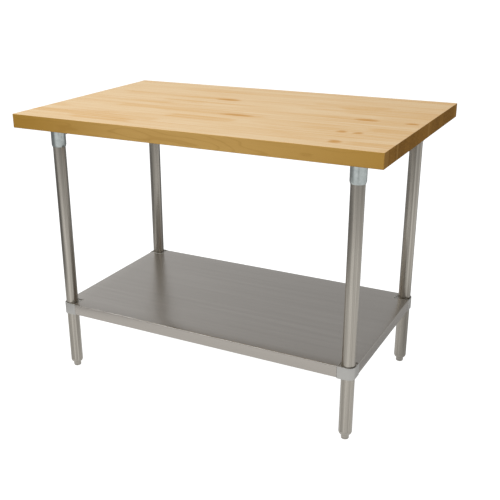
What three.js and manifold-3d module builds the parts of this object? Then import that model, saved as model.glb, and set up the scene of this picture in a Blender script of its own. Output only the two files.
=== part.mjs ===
// Butcher block work table: a laminated maple top on four tubular legs, with an
// adjustable sheet-metal undershelf and screw-out feet. Millimetres, +Z up,
// +X along the top, -Y to the front, origin on the floor under the middle.

import * as THREE from 'three';
import { mergeVertices } from 'three/addons/utils/BufferGeometryUtils.js';
import Module from 'manifold-3d';

const wasm = await Module();
wasm.setup();

// ---------------------------------------------------------------- overall size
const TABLE_HEIGHT = 921;
const TOP_LENGTH = 1219.2;
const TOP_WIDTH = 762;
const TOP_THICKNESS = 44.45;

// ------------------------------------------------------------------ wooden top
const STAVE_COUNT = 17;
const GLUE_LINE = 0.1;
const TOP_EDGE_RADIUS = 1.6;
const TOP_CORNER_RADIUS = 3;

// ------------------------------------------------------------------------ legs
const LEG_INSET = 98.4; // leg axis in from the ends and long edges of the top
const LEG_DIAMETER = 41.28;
const LEG_WALL = 1.6;

// ------------------------------------------------- leg sockets under the top
const SOCKET_HEIGHT = 70.5; // underside of the top to the socket's lower lip
const SOCKET_WALL = 2.8;
const SOCKET_LIP_HEIGHT = 6.5; // the wall tapers to a thin lip over this height
const SOCKET_LIP_WALL = 0.9;
const SOCKET_CLEARANCE = 0.3;
const PLATE_SIZE = 88.9;
const PLATE_THICKNESS = 4;
const PLATE_CORNER_RADIUS = 8;
const PLATE_HOLE_EDGE = 9.5; // hole centre in from the plate's edges
const PLATE_WELD = 3;
const WOOD_SCREW_DIAMETER = 5;
const WOOD_SCREW_CLEARANCE = 0.4;
const PILOT_DIAMETER = 3.6;
const PILOT_DEPTH = 30;

// ------------------------------------------------------------------ set screws
const SET_SCREW_DIAMETER = 8;
const SET_SCREW_KEY = 4; // across the flats of the hexagon key
const SET_SCREW_KEY_DEPTH = 4;
const SET_SCREW_CUP = 5; // diameter of the point
const SOCKET_SCREW_LENGTH = 8;
const SOCKET_SCREW_DROP = 26; // below the underside of the top
const SOCKET_BOSS_DIAMETER = 15;
const SOCKET_BOSS_HEIGHT = 4.5;
const CLAMP_SCREW_LENGTH = 16;
const CLAMP_SCREW_RISE = 12.5; // above the clamp's lower face

// ------------------------------------------------------------------------ feet
const FOOT_HEX_FLATS = 22.4;
const FOOT_HEX_HEIGHT = 17.2;
const FOOT_PAD_DIAMETER = 10; // flat on the very bottom
const FOOT_DOME_HEIGHT = 5.5;
const FOOT_HEX_CHAMFER = 0.9;
const FOOT_STOP_GAP = 0.3; // hexagon to shoulder when screwed right in
const FOOT_SHOULDER_HEIGHT = 12.5;
const FOOT_SHOULDER_LIP = 2.2; // straight rim under the tube's end
const FOOT_SHOULDER_DIAMETER = 25.6; // where the shoulder meets the hexagon
const FOOT_INSERT_DEPTH = 28; // inside the tube
const FOOT_INSERT_CLEARANCE = 0.15;
const FOOT_STUD_DIAMETER = 16;
const FOOT_STUD_CLEARANCE = 0.2;
const FOOT_STUD_LENGTH = 50;
const FOOT_STUD_SEAT = 8; // the stud's depth in the hexagon
const FOOT_STUD_CHAMFER = 1.2;

// ------------------------------------------------------------------ undershelf
const SHELF_HEIGHT = 252; // upper face above the floor
const SHELF_OVERHANG = 23.6; // flange face beyond the leg axes
const SHELF_FLANGE = 38.1;
const SHELF_RETURN = 12.7; // inward lip along the bottom of each flange
const SHELF_BEND_RADIUS = 3;
const SHELF_NOTCH = 28; // corner cut-out, in from the leg axis
const SHEET = 1.2;
const HAT_CROWN = 60;
const HAT_BRIM = 18;
const HAT_DEPTH = 26;
const HAT_END_CLEARANCE = 6;

// --------------------------------------------------------- undershelf clamps
const CLAMP_BORE_CLEARANCE = 0.25;
const CLAMP_PROUD = 0.5; // beyond the flange face
const CLAMP_ABOVE = 0.5; // above the undershelf
const CLAMP_BELOW = 1.5; // below the flange
const CLAMP_CORNER_RADIUS = 22;
const CLAMP_INNER_RADIUS = 8;
const CLAMP_EDGE = 0.8; // rounding of the casting's edges
const CLAMP_POCKET_DEPTH = 4; // sunk round the leg, inside the casting's rim
const CLAMP_RIM = 2.2;
const CLAMP_BOSS_RADIUS = 9;
const TONGUE_LENGTH = 16;
const TONGUE_THICKNESS = 3;
const LUG_REACH = 50; // leg axis to stud, along the diagonal
const LUG_THICKNESS = 5;
const LUG_HOLE_CLEARANCE = 0.5;
const STUD_DIAMETER = 6;
const STUD_LENGTH = 14;
const NUT_FLATS = 10;
const NUT_HEIGHT = 5.5;
const NUT_FLANGE_DIAMETER = 14;
const NUT_FLANGE_HEIGHT = 1.4;
const NUT_CLEARANCE = 0.15;

// ------------------------------------------------------------- shared figures
const FIT_GAP = 0.3; // pieces that are cut to each other
const SEAT_GAP = 0.05; // faces that rest on each other
const ROUND = 32; // sides of the tubes and of what fits them
const SMALL_ROUND = 16; // sides of screws and their holes
const ARC = 4; // steps in a quarter-round corner
const THROUGH = 1; // a cutter's extra reach past the face it opens

const legX = TOP_LENGTH / 2 - LEG_INSET;
const legY = TOP_WIDTH / 2 - LEG_INSET;
const legRadius = LEG_DIAMETER / 2;
const topUnderside = TABLE_HEIGHT - TOP_THICKNESS;
const plateUnderside = topUnderside - SEAT_GAP - PLATE_THICKNESS;
const legTop = plateUnderside - SEAT_GAP;
const shoulderBottom = FOOT_HEX_HEIGHT + FOOT_STOP_GAP;
const legBottom = shoulderBottom + FOOT_SHOULDER_HEIGHT;
const sheetUnderside = SHELF_HEIGHT - SHEET;
const flangeBottom = SHELF_HEIGHT - SHELF_FLANGE;
const clampTop = SHELF_HEIGHT + CLAMP_ABOVE;
const lugTop = sheetUnderside - FIT_GAP;
const clampBottom = flangeBottom - CLAMP_BELOW;
const tipRadius = legRadius + FIT_GAP; // where the set screws' points stand

// Each corner repeats the front right one, turned about the vertical.
const CORNERS = [
  { name: 'front_right', x: legX, y: -legY, quarterTurns: 0 },
  { name: 'back_right', x: legX, y: legY, quarterTurns: 1 },
  { name: 'back_left', x: -legX, y: legY, quarterTurns: 2 },
  { name: 'front_left', x: -legX, y: -legY, quarterTurns: 3 },
];
const INWARD = 0.75 * Math.PI; // from the front right leg to the table's middle

// -------------------------------------------------------------------- finishes
function finish(color, roughness, metalness) {
  return new THREE.MeshStandardMaterial({ color, roughness, metalness });
}

const maple = finish(0xdcb987, 0.45, 0);
const stainless = finish(0xa8a49c, 0.32, 1);
const shelfSheet = finish(0x9c9891, 0.4, 1);
const zincPlate = finish(0xaab4b8, 0.38, 1);
const castAluminium = finish(0xb9b8b4, 0.5, 1);
const darkSteel = finish(0x3c3d40, 0.4, 1);

// -------------------------------------------------------------- solid geometry
function solid(geometry, matrix) {
  const bare = geometry.index ? geometry.clone() : geometry;
  bare.deleteAttribute('normal');
  bare.deleteAttribute('uv');
  if (matrix) bare.applyMatrix4(matrix);
  const merged = mergeVertices(bare, 1e-4);
  return new wasm.Manifold(new wasm.Mesh({
    numProp: 3,
    vertProperties: merged.attributes.position.array,
    triVerts: Uint32Array.from(merged.index.array),
  }));
}

function geometryOf(manifold) {
  const { vertProperties, triVerts } = manifold.getMesh();
  const geometry = new THREE.BufferGeometry();
  geometry.setAttribute('position', new THREE.BufferAttribute(vertProperties, 3));
  geometry.setIndex(new THREE.BufferAttribute(triVerts, 1));
  geometry.computeVertexNormals();
  return geometry;
}

function shift(x, y, z) {
  return new THREE.Matrix4().makeTranslation(x, y, z);
}

const basis = (x, y, z) => new THREE.Matrix4().makeBasis(
  new THREE.Vector3(...x), new THREE.Vector3(...y), new THREE.Vector3(...z));
const ALONG_X = basis([0, 1, 0], [0, 0, 1], [1, 0, 0]); // outline in Y and Z
const ALONG_Y = basis([1, 0, 0], [0, 0, 1], [0, -1, 0]); // outline in X and Z

// Outlines: a rectangle whose corners have their own radii, anticlockwise from
// the lower left, and a circle.
function outline(x0, y0, x1, y1, [lowLeft, lowRight, highRight, highLeft]) {
  const shape = new THREE.Shape();
  const corners = [
    [x0, y0, lowLeft, 1, 1, Math.PI],
    [x1, y0, lowRight, -1, 1, 1.5 * Math.PI],
    [x1, y1, highRight, -1, -1, 0],
    [x0, y1, highLeft, 1, -1, 0.5 * Math.PI],
  ];
  corners.forEach(([x, y, r, inX, inY, start], i) => {
    const from = [x + inX * r + r * Math.cos(start), y + inY * r + r * Math.sin(start)];
    if (i === 0) shape.moveTo(...from);
    else shape.lineTo(...from);
    if (r > 0) shape.absarc(x + inX * r, y + inY * r, r, start, start + Math.PI / 2);
  });
  shape.closePath();
  return shape;
}

function circle(radius) {
  return new THREE.Shape().absarc(0, 0, radius, 0, 2 * Math.PI);
}

function hexagon(acrossFlats) {
  const radius = acrossFlats / Math.sqrt(3);
  const points = [0, 1, 2, 3, 4, 5].map((i) => new THREE.Vector2(
    radius * Math.cos(i * Math.PI / 3), radius * Math.sin(i * Math.PI / 3)));
  return new THREE.Shape(points);
}

// An arc is drawn in twice as many steps as curveSegments says.
function prism(shape, from, to, steps = ARC) {
  const geometry = new THREE.ExtrudeGeometry(shape, {
    depth: to - from, bevelEnabled: false, curveSegments: steps / 2,
  });
  return geometry.translate(0, 0, from);
}

function rod(radius, from, to, sides = SMALL_ROUND) {
  return prism(circle(radius), from, to, sides);
}

// A profile of [radius, height] points turned about the vertical.
function turned(profile, segments) {
  const points = profile.map(([r, z]) => new THREE.Vector2(r, z));
  return new THREE.LatheGeometry(points, segments).rotateX(Math.PI / 2);
}

// Quarter ellipse between two [radius, height] points, level at the second.
function bulge([r0, z0], [r1, z1]) {
  const points = [];
  for (let i = 0; i <= ARC; i += 1) {
    const angle = (i / ARC) * Math.PI / 2;
    points.push([r1 + (r0 - r1) * Math.cos(angle), z0 + (z1 - z0) * Math.sin(angle)]);
  }
  return points;
}

// --------------------------------------------------------------------- the top
const holePitch = PLATE_SIZE / 2 - PLATE_HOLE_EDGE;
const HOLES = [[-1, -1], [1, -1], [1, 1], [-1, 1]].map(([i, j]) => [i * holePitch, j * holePitch]);

function topSlab() {
  const r = TOP_EDGE_RADIUS;
  const c = TOP_CORNER_RADIUS;
  const x = TOP_LENGTH / 2;
  const y = TOP_WIDTH / 2;
  const ends = outline(-x, topUnderside, x, TABLE_HEIGHT, [r, r, r, r]);
  const sides = outline(-y, topUnderside, y, TABLE_HEIGHT, [r, r, r, r]);
  const plan = outline(-x, -y, x, y, [c, c, c, c]);
  return solid(prism(ends, -y, y), ALONG_Y)
    .intersect(solid(prism(sides, -x, x), ALONG_X))
    .intersect(solid(prism(plan, topUnderside, TABLE_HEIGHT)));
}

function pilotHoles() {
  const hole = rod(PILOT_DIAMETER / 2, topUnderside - THROUGH, topUnderside + PILOT_DEPTH, 12);
  const holes = CORNERS.flatMap((corner) => HOLES.map(([x, y]) => (
    solid(hole.clone(), shift(corner.x + x, corner.y + y, 0)))));
  return holes.reduce((all, one) => all.add(one));
}

function staves() {
  const slab = topSlab().subtract(pilotHoles());
  const pitch = TOP_WIDTH / STAVE_COUNT;
  const list = [];
  for (let i = 0; i < STAVE_COUNT; i += 1) {
    const front = -TOP_WIDTH / 2 + i * pitch + (i === 0 ? -THROUGH : GLUE_LINE / 2);
    const isLast = i === STAVE_COUNT - 1;
    const back = -TOP_WIDTH / 2 + (i + 1) * pitch + (isLast ? THROUGH : -GLUE_LINE / 2);
    const x = TOP_LENGTH / 2 + THROUGH;
    const strip = outline(-x, front, x, back, [0, 0, 0, 0]);
    const cutter = solid(prism(strip, topUnderside - THROUGH, TABLE_HEIGHT + THROUGH));
    const number = String(i + 1).padStart(2, '0');
    list.push(new THREE.Mesh(geometryOf(slab.intersect(cutter)), maple));
    list[i].name = `stave_${number}`;
  }
  return list;
}

// ------------------------------------------------------------------ a set screw
// Lies along +X with its point at x = 0.
function setScrew(length) {
  const r = SET_SCREW_DIAMETER / 2;
  const chamfer = (SET_SCREW_DIAMETER - SET_SCREW_CUP) / 2;
  const body = turned([
    [0, 0], [SET_SCREW_CUP / 2, 0], [r, chamfer], [r, length - THROUGH / 2],
    [r - THROUGH / 2, length], [0, length],
  ], SMALL_ROUND);
  const key = prism(hexagon(SET_SCREW_KEY), length - SET_SCREW_KEY_DEPTH, length + THROUGH);
  const geometry = geometryOf(solid(body).subtract(solid(key)));
  return geometry.applyMatrix4(ALONG_X);
}

function screwHole(from, to) {
  const hole = rod(SET_SCREW_DIAMETER / 2 + FIT_GAP, from, to);
  return hole.applyMatrix4(ALONG_X);
}

// ----------------------------------------------------------------- leg and socket
function legTube() {
  const inner = legRadius - LEG_WALL;
  return turned([
    [inner, legBottom], [legRadius, legBottom], [legRadius, legTop],
    [inner, legTop], [inner, legBottom],
  ], ROUND);
}

function legSocket() {
  const bore = legRadius + SOCKET_CLEARANCE;
  const outer = bore + SOCKET_WALL;
  const lip = topUnderside - SOCKET_HEIGHT;
  const taperTop = lip + SOCKET_LIP_HEIGHT;
  const screwZ = topUnderside - SOCKET_SCREW_DROP;
  const cup = turned([
    [bore, lip], [bore + SOCKET_LIP_WALL, lip], [outer, taperTop],
    [outer, plateUnderside - PLATE_WELD], [outer + PLATE_WELD, plateUnderside],
    [outer, plateUnderside + PLATE_THICKNESS / 2], [bore, plateUnderside + PLATE_THICKNESS / 2],
    [bore, lip],
  ], ROUND);
  const half = PLATE_SIZE / 2;
  const c = PLATE_CORNER_RADIUS;
  const plate = prism(outline(-half, -half, half, half, [c, c, c, c]),
    plateUnderside, topUnderside - SEAT_GAP);
  const turn = new THREE.Matrix4().makeRotationZ(INWARD);
  const boss = rod(SOCKET_BOSS_DIAMETER / 2, outer - SOCKET_WALL / 2, outer + SOCKET_BOSS_HEIGHT)
    .applyMatrix4(ALONG_X).translate(0, 0, screwZ);
  const hole = screwHole(legRadius - LEG_WALL, outer + 2 * SOCKET_BOSS_HEIGHT)
    .translate(0, 0, screwZ);
  const screwHoles = HOLES.map(([x, y]) => solid(
    rod(WOOD_SCREW_DIAMETER / 2 + WOOD_SCREW_CLEARANCE, plateUnderside - THROUGH, topUnderside),
    shift(x, y, 0)));
  const joined = solid(cup).add(solid(plate)).add(solid(boss, turn)).subtract(solid(hole, turn));
  return geometryOf(screwHoles.reduce((all, one) => all.subtract(one), joined));
}

// ----------------------------------------------------------------------- a foot
function footInsert() {
  const bore = FOOT_STUD_DIAMETER / 2 + FOOT_STUD_CLEARANCE;
  const plug = legRadius - LEG_WALL - FOOT_INSERT_CLEARANCE;
  const seat = legBottom - SEAT_GAP;
  const top = legBottom + FOOT_INSERT_DEPTH;
  const rim = seat - FOOT_SHOULDER_LIP;
  return turned([
    [bore, shoulderBottom],
    ...bulge([legRadius, rim], [FOOT_SHOULDER_DIAMETER / 2, shoulderBottom]).reverse(),
    [legRadius, seat], [plug, seat], [plug, top], [bore, top], [bore, shoulderBottom],
  ], ROUND);
}

const studBottom = FOOT_HEX_HEIGHT - FOOT_STUD_SEAT + SEAT_GAP;

function footStud() {
  const r = FOOT_STUD_DIAMETER / 2;
  const top = studBottom + FOOT_STUD_LENGTH;
  return turned([
    [0, studBottom], [r, studBottom], [r, top - FOOT_STUD_CHAMFER],
    [r - FOOT_STUD_CHAMFER, top], [0, top],
  ], SMALL_ROUND);
}

function footHex() {
  const corner = FOOT_HEX_FLATS / Math.sqrt(3);
  const dome = turned([
    [0, 0], ...bulge([corner, FOOT_DOME_HEIGHT], [FOOT_PAD_DIAMETER / 2, 0]).reverse(),
    [corner, FOOT_HEX_HEIGHT - FOOT_HEX_CHAMFER / 2],
    [corner - FOOT_HEX_CHAMFER, FOOT_HEX_HEIGHT], [0, FOOT_HEX_HEIGHT],
  ], SMALL_ROUND);
  const bore = rod(FOOT_STUD_DIAMETER / 2 + FOOT_STUD_CLEARANCE,
    FOOT_HEX_HEIGHT - FOOT_STUD_SEAT, FOOT_HEX_HEIGHT + THROUGH);
  const hex = prism(hexagon(FOOT_HEX_FLATS), -THROUGH, FOOT_HEX_HEIGHT + THROUGH);
  return geometryOf(solid(dome).intersect(solid(hex)).subtract(solid(bore)));
}

// ------------------------------------------------------------------- undershelf
const shelfX = legX + SHELF_OVERHANG;
const shelfY = legY + SHELF_OVERHANG;

// A block with rounded upper edges, its faces inset from the pan's outside.
function panBlock(inset, bottom) {
  const r = SHELF_BEND_RADIUS - inset;
  const x = shelfX - inset;
  const y = shelfY - inset;
  const top = SHELF_HEIGHT - inset;
  return solid(prism(outline(-x, bottom, x, top, [0, 0, r, r]), -y, y), ALONG_Y)
    .intersect(solid(prism(outline(-y, bottom, y, top, [0, 0, r, r]), -x, x), ALONG_X));
}

function returnLips() {
  const x = shelfX - SHEET / 2;
  const y = shelfY - SHEET / 2;
  const innerX = shelfX - SHEET - SHELF_RETURN;
  const innerY = shelfY - SHEET - SHELF_RETURN;
  const ring = outline(-x, -y, x, y, [0, 0, 0, 0]);
  ring.holes.push(outline(-innerX, -innerY, innerX, innerY, [0, 0, 0, 0]));
  return solid(prism(ring, flangeBottom, flangeBottom + SHEET));
}

function shelfPan() {
  const notch = SHELF_NOTCH + SHELF_OVERHANG + THROUGH;
  const stud = rod(STUD_DIAMETER / 2, sheetUnderside - STUD_LENGTH, sheetUnderside + SHEET / 2);
  let pan = panBlock(0, flangeBottom).subtract(panBlock(SHEET, flangeBottom - THROUGH));
  pan = pan.add(returnLips());
  for (const { x, y } of CORNERS) {
    const outX = Math.sign(x);
    const outY = Math.sign(y);
    const cutX = x - outX * SHELF_NOTCH + outX * notch / 2;
    const cutY = y - outY * SHELF_NOTCH + outY * notch / 2;
    const cutter = outline(cutX - notch / 2, cutY - notch / 2, cutX + notch / 2, cutY + notch / 2,
      [0, 0, 0, 0]);
    const reach = LUG_REACH / Math.SQRT2;
    pan = pan.subtract(solid(prism(cutter, flangeBottom - THROUGH, SHELF_HEIGHT + THROUGH)));
    pan = pan.add(solid(stud.clone(), shift(x - outX * reach, y - outY * reach, 0)));
  }
  return geometryOf(pan);
}

function hatChannel() {
  const half = shelfX - SHEET - HAT_END_CLEARANCE;
  const top = sheetUnderside - SEAT_GAP;
  const bottom = top - HAT_DEPTH;
  const crown = HAT_CROWN / 2;
  const brim = crown + HAT_BRIM;
  const points = [
    [-brim, top], [-brim, top - SHEET], [-crown, top - SHEET], [-crown, bottom],
    [crown, bottom], [crown, top - SHEET], [brim, top - SHEET], [brim, top],
    [crown - SHEET, top], [crown - SHEET, bottom + SHEET],
    [SHEET - crown, bottom + SHEET], [SHEET - crown, top],
  ].map(([y, z]) => new THREE.Vector2(y, z));
  return prism(new THREE.Shape(points), -half, half).applyMatrix4(ALONG_X);
}

// ------------------------------------------------------------ undershelf clamps
function clampBlock() {
  const out = SHELF_OVERHANG + CLAMP_PROUD;
  const inner = SHELF_NOTCH - FIT_GAP;
  const small = 2 * CLAMP_EDGE;
  const plan = outline(-inner, -out, out, inner,
    [small, CLAMP_CORNER_RADIUS, small, CLAMP_INNER_RADIUS]);
  const geometry = new THREE.ExtrudeGeometry(plan, {
    depth: clampTop - clampBottom - 2 * CLAMP_EDGE,
    curveSegments: ARC,
    bevelThickness: CLAMP_EDGE,
    bevelSize: CLAMP_EDGE,
    bevelOffset: -CLAMP_EDGE,
    bevelSegments: 1,
  });
  return solid(geometry.translate(0, 0, clampBottom + CLAMP_EDGE));
}

// The casting's top is sunk round the leg, so that only its rim stands up.
function clampPocket() {
  const out = SHELF_OVERHANG + CLAMP_PROUD - CLAMP_RIM;
  const inner = SHELF_NOTCH - FIT_GAP - CLAMP_RIM;
  const plan = outline(-inner, -out, out, inner,
    [CLAMP_EDGE, CLAMP_CORNER_RADIUS - CLAMP_RIM, CLAMP_EDGE, CLAMP_INNER_RADIUS - CLAMP_RIM]);
  return solid(prism(plan, clampTop - CLAMP_POCKET_DEPTH, clampTop + THROUGH, 2 * ARC));
}

// The tongues lie behind the two flanges, above their lips.
function clampTongues() {
  const behind = SHELF_OVERHANG - SHEET - FIT_GAP;
  const low = flangeBottom + SHEET + FIT_GAP;
  const high = sheetUnderside - SHELF_BEND_RADIUS;
  const start = SHELF_NOTCH - FIT_GAP - CLAMP_INNER_RADIUS / 2;
  const end = SHELF_NOTCH + TONGUE_LENGTH;
  const front = outline(-end, -behind, -start, TONGUE_THICKNESS - behind, [0, 0, 0, 0]);
  const side = outline(behind - TONGUE_THICKNESS, start, behind, end, [0, 0, 0, 0]);
  return solid(prism(front, low, high)).add(solid(prism(side, low, high)));
}

function clampLug() {
  const r = CLAMP_BOSS_RADIUS;
  const stadium = outline(legRadius + SOCKET_WALL, -r, LUG_REACH + r, r, [0, r, r, 0]);
  const lug = solid(prism(stadium, lugTop - LUG_THICKNESS, lugTop, 8));
  const hole = rod(STUD_DIAMETER / 2 + LUG_HOLE_CLEARANCE,
    lugTop - LUG_THICKNESS - THROUGH, lugTop + THROUGH);
  return lug.subtract(solid(hole, shift(LUG_REACH, 0, 0)));
}

function shelfClamp() {
  const turn = new THREE.Matrix4().makeRotationZ(INWARD);
  const bore = rod(legRadius + CLAMP_BORE_CLEARANCE, clampBottom - THROUGH, clampTop + THROUGH,
    ROUND);
  const hole = screwHole(legRadius - LEG_WALL, LUG_REACH)
    .translate(0, 0, clampBottom + CLAMP_SCREW_RISE);
  return geometryOf(clampBlock().add(clampTongues()).add(clampLug().transform(turn.elements))
    .subtract(clampPocket()).subtract(solid(bore)).subtract(solid(hole, turn)));
}

function clampNut() {
  const top = lugTop - LUG_THICKNESS - SEAT_GAP;
  const flange = rod(NUT_FLANGE_DIAMETER / 2, top - NUT_FLANGE_HEIGHT, top);
  const body = prism(hexagon(NUT_FLATS), top - NUT_HEIGHT, top - NUT_FLANGE_HEIGHT / 2);
  const bore = rod(STUD_DIAMETER / 2 + NUT_CLEARANCE, top - NUT_HEIGHT - THROUGH, top + THROUGH);
  return geometryOf(solid(flange).add(solid(body)).subtract(solid(bore)));
}

// -------------------------------------------------------------------- assembly
function place(group, name, geometry, material, x = 0, y = 0, z = 0) {
  const mesh = new THREE.Mesh(geometry, material);
  mesh.name = name;
  mesh.position.set(x, y, z);
  group.add(mesh);
  return mesh;
}

const table = new THREE.Group();
table.add(...staves());
place(table, 'undershelf_pan', shelfPan(), shelfSheet);
place(table, 'undershelf_stiffener', hatChannel(), shelfSheet);

const leg = legTube();
const socket = legSocket();
const socketScrew = setScrew(SOCKET_SCREW_LENGTH);
const insert = footInsert();
const stud = footStud();
const hex = footHex();
const clamp = shelfClamp();
const clampScrew = setScrew(CLAMP_SCREW_LENGTH);
const nut = clampNut();

for (const { name, x, y, quarterTurns } of CORNERS) {
  const corner = new THREE.Group();
  const diagonal = new THREE.Group();
  corner.position.set(x, y, 0);
  corner.rotation.z = quarterTurns * Math.PI / 2;
  diagonal.rotation.z = INWARD;
  corner.add(diagonal);
  table.add(corner);

  place(corner, `leg_${name}`, leg, stainless);
  place(corner, `leg_socket_${name}`, socket, zincPlate);
  place(corner, `foot_insert_${name}`, insert, stainless);
  place(corner, `foot_stud_${name}`, stud, zincPlate);
  place(corner, `foot_hex_${name}`, hex, stainless);
  place(corner, `shelf_clamp_${name}`, clamp, castAluminium);
  place(diagonal, `socket_screw_${name}`, socketScrew, darkSteel,
    tipRadius, 0, topUnderside - SOCKET_SCREW_DROP);
  place(diagonal, `clamp_screw_${name}`, clampScrew, darkSteel,
    tipRadius, 0, clampBottom + CLAMP_SCREW_RISE);
  place(diagonal, `clamp_nut_${name}`, nut, zincPlate, LUG_REACH);
}

export default table;
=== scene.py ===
import math
import random

import bmesh
import bpy
from mathutils import Matrix, Vector


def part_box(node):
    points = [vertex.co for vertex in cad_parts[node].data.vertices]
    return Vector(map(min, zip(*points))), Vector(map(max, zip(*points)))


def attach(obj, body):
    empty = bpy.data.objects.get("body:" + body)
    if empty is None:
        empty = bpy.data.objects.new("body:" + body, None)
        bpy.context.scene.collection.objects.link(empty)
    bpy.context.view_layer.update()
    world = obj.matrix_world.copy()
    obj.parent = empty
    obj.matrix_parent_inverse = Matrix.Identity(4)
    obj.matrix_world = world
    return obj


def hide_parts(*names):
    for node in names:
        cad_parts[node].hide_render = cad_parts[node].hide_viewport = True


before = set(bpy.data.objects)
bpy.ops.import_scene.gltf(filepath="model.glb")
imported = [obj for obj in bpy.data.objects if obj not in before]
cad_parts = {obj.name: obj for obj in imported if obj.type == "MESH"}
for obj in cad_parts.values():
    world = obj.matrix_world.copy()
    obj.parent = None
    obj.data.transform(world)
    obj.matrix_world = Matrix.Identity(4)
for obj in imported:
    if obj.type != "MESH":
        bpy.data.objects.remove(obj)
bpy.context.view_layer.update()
scene = bpy.context.scene

# %% [markdown]
# ## Where things are
# The four corners of the table are one corner turned by quarter turns. A piece
# is therefore modelled once, round an upright axis through the origin, as if it
# were at the front right. Each copy is then turned and moved to its own leg.
# The leg axes and the heights come from the boxes of the CAD nodes.
# %% Corners, axes and heights
MM = 0.001
QUARTER_TURNS = {"front_right": 0, "back_right": 1, "back_left": 2, "front_left": 3}


def leg_axis(corner):
    low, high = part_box(f"leg_{corner}")
    return (low.x + high.x) / 2, (low.y + high.y) / 2


LEG_X, LEG_Y = (abs(value) for value in leg_axis("front_right"))
INWARD = Matrix.Rotation(math.radians(135), 3, "Z")
ABOUT_Z = [Matrix.Rotation(math.radians(90 * turn), 3, "Z") for turn in range(4)]
LEG_LOW, LEG_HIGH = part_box("leg_front_right")
LEG_RADIUS = (LEG_HIGH.x - LEG_LOW.x) / 2
STAVES = sorted(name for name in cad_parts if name.startswith("stave_"))
TOP_LOW = Vector([min(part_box(name)[0][axis] for name in STAVES) for axis in range(3)])
TOP_HIGH = Vector([max(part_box(name)[1][axis] for name in STAVES) for axis in range(3)])
print("leg axes at", round(LEG_X, 4), round(LEG_Y, 4), "leg radius", round(LEG_RADIUS, 5))
print("top from", TOP_LOW, "to", TOP_HIGH)

# %% [markdown]
# ## Shader maths as Python
# A procedural finish is a small circuit of nodes. Joining it by hand takes many
# lines, so one class wraps a socket and turns Python's operators into Math
# nodes: `1 - mask * 0.4` adds two nodes and gives the last one's output.
# %% A wire of the node tree
class Wire:
    def __init__(self, finish, socket):
        self.finish = finish
        self.socket = socket

    def _math(self, operation, first, second):
        return self.finish.node("ShaderNodeMath", {"operation": operation},
                                {0: first, 1: second})

    def __add__(self, other):
        return self._math("ADD", self, other)

    def __sub__(self, other):
        return self._math("SUBTRACT", self, other)

    def __mul__(self, other):
        return self._math("MULTIPLY", self, other)

    def __truediv__(self, other):
        return self._math("DIVIDE", self, other)

    def __pow__(self, other):
        return self._math("POWER", self, other)

    def __radd__(self, other):
        return self._math("ADD", other, self)

    def __rsub__(self, other):
        return self._math("SUBTRACT", other, self)

    def __rmul__(self, other):
        return self._math("MULTIPLY", other, self)


# %% [markdown]
# A finish is one material. Its `node` method makes any node: the type, then the
# settings, then what goes into the sockets, as numbers, colours or wires. The
# other methods are short names for the nodes that wood and metal need most.
# %% A finish
class Finish:
    def __init__(self, name, **constants):
        self.material = bpy.data.materials.new(name)
        self.material.use_nodes = True
        self.tree = self.material.node_tree
        self.tree.nodes.clear()
        out = self.tree.nodes.new("ShaderNodeOutputMaterial")
        self.shader = self.tree.nodes.new("ShaderNodeBsdfPrincipled")
        self.tree.links.new(self.shader.outputs[0], out.inputs[0])
        for socket, value in constants.items():
            self.shader.inputs[socket.replace("_", " ")].default_value = value
        self.place = self.node("ShaderNodeTexCoord", output="Object")
        self.x, self.y, self.z = self.axes(self.place)

    def node(self, kind, settings=None, inputs=None, output=0):
        made = self.tree.nodes.new(kind)
        for name, value in (settings or {}).items():
            setattr(made, name, value)
        for key, value in (inputs or {}).items():
            self.feed(made.inputs[key], value)
        return Wire(self, made.outputs[output])

    def feed(self, socket, value):
        if isinstance(value, Wire):
            self.tree.links.new(value.socket, socket)
        elif socket.type == "RGBA":
            socket.default_value = (*value, 1)
        else:
            socket.default_value = value

    def wear(self, **sockets):
        for name, value in sockets.items():
            self.feed(self.shader.inputs[name.replace("_", " ")], value)

    def axes(self, vector):
        return [self.node("ShaderNodeSeparateXYZ", None, {0: vector}, axis) for axis in "XYZ"]

    def stretch(self, scale, shift=(0, 0, 0)):
        settings = {"vector_type": "POINT"}
        return self.node("ShaderNodeMapping", settings,
                         {"Vector": self.place, "Location": shift, "Scale": scale})

    def noise(self, scale, shift=(0, 0, 0), detail=2.0, rough=0.5):
        return self.node("ShaderNodeTexNoise", {"noise_dimensions": "3D"},
                         {"Vector": self.stretch(scale, shift), "Scale": 1.0,
                          "Detail": detail, "Roughness": rough})

    def between(self, value, low, high):
        """0 below low, 1 above high, and a smooth rise from one to the other."""
        return self.node("ShaderNodeMapRange", {"interpolation_type": "SMOOTHSTEP"},
                         {"Value": value, "From Min": low, "From Max": high})

    def band(self, value, low, high, blur):
        """1 from low to high, fading to 0 on both sides over twice the blur."""
        above_low = self.between(value, low - blur, low + blur)
        return above_low * (1 - self.between(value, high - blur, high + blur))

    def mix(self, first, second, amount):
        return self.node("ShaderNodeMix", {"data_type": "RGBA"},
                         {0: amount, 6: first, 7: second}, 2)

    def absolute(self, value):
        return self.node("ShaderNodeMath", {"operation": "ABSOLUTE"}, {0: value})

    def bump(self, height, depth, strength=1.0):
        """height from 0 to 1 stands for that many metres of depth."""
        return self.node("ShaderNodeBump", None,
                         {"Height": height, "Distance": depth, "Strength": strength})


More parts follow.
